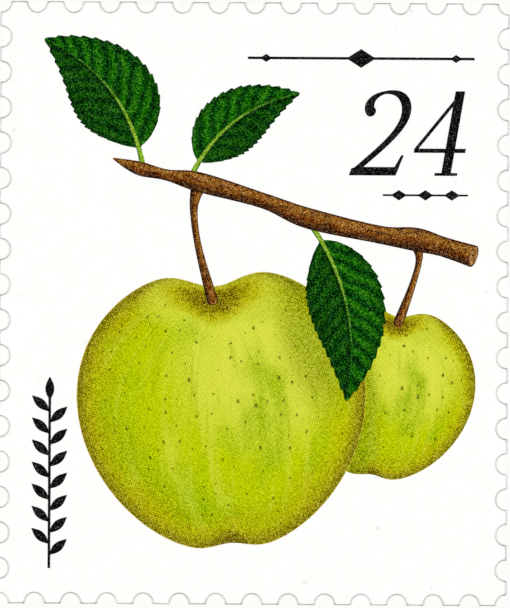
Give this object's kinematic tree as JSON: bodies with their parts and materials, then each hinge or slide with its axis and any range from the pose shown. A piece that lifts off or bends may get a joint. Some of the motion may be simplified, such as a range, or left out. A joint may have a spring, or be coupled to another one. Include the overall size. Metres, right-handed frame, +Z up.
{
  "type": "postage stamp",
  "caption": "Self-adhesive postage stamp: a small die-cut paper label with scalloped edges, a printed fruit picture and a value number, stuck on mail to show postage paid.",
  "frame": {"origin": "centre of the stamp's outline, on the underside of its adhesive film, which lies on the surface", "axes": "+Z up, out of the printed face; +Y towards the stamp's head, along its height; +X to the right as the number is read"},
  "size_m": [0.0216, 0.0254, 0.0001],
  "materials": {
    "paper": "smooth white coated stamp paper, dull",
    "adhesive": "clear acrylic pressure-sensitive film, pale cream over the paper, glossy",
    "ink_fruit": "offset ink, yellow-green screened tints, dull",
    "ink_leaf": "offset ink, dark green screened tints, dull",
    "ink_bark": "offset ink, brown screened tints, dull",
    "ink_black": "solid black offset ink, dull"
  },
  "bodies": {
    "root": {"face_paper": "paper", "adhesive_film": "adhesive", "print_apple_front": "ink_fruit", "print_apple_back": "ink_fruit", "print_twig": "ink_bark", "print_leaf_tall": "ink_leaf", "print_leaf_short": "ink_leaf", "print_leaf_hanging": "ink_leaf", "print_numeral_2": "ink_black", "print_numeral_4": "ink_black", "print_rule": "ink_black", "print_small_rule": "ink_black", "print_sprig": "ink_black"}
  },
  "joints": []
}
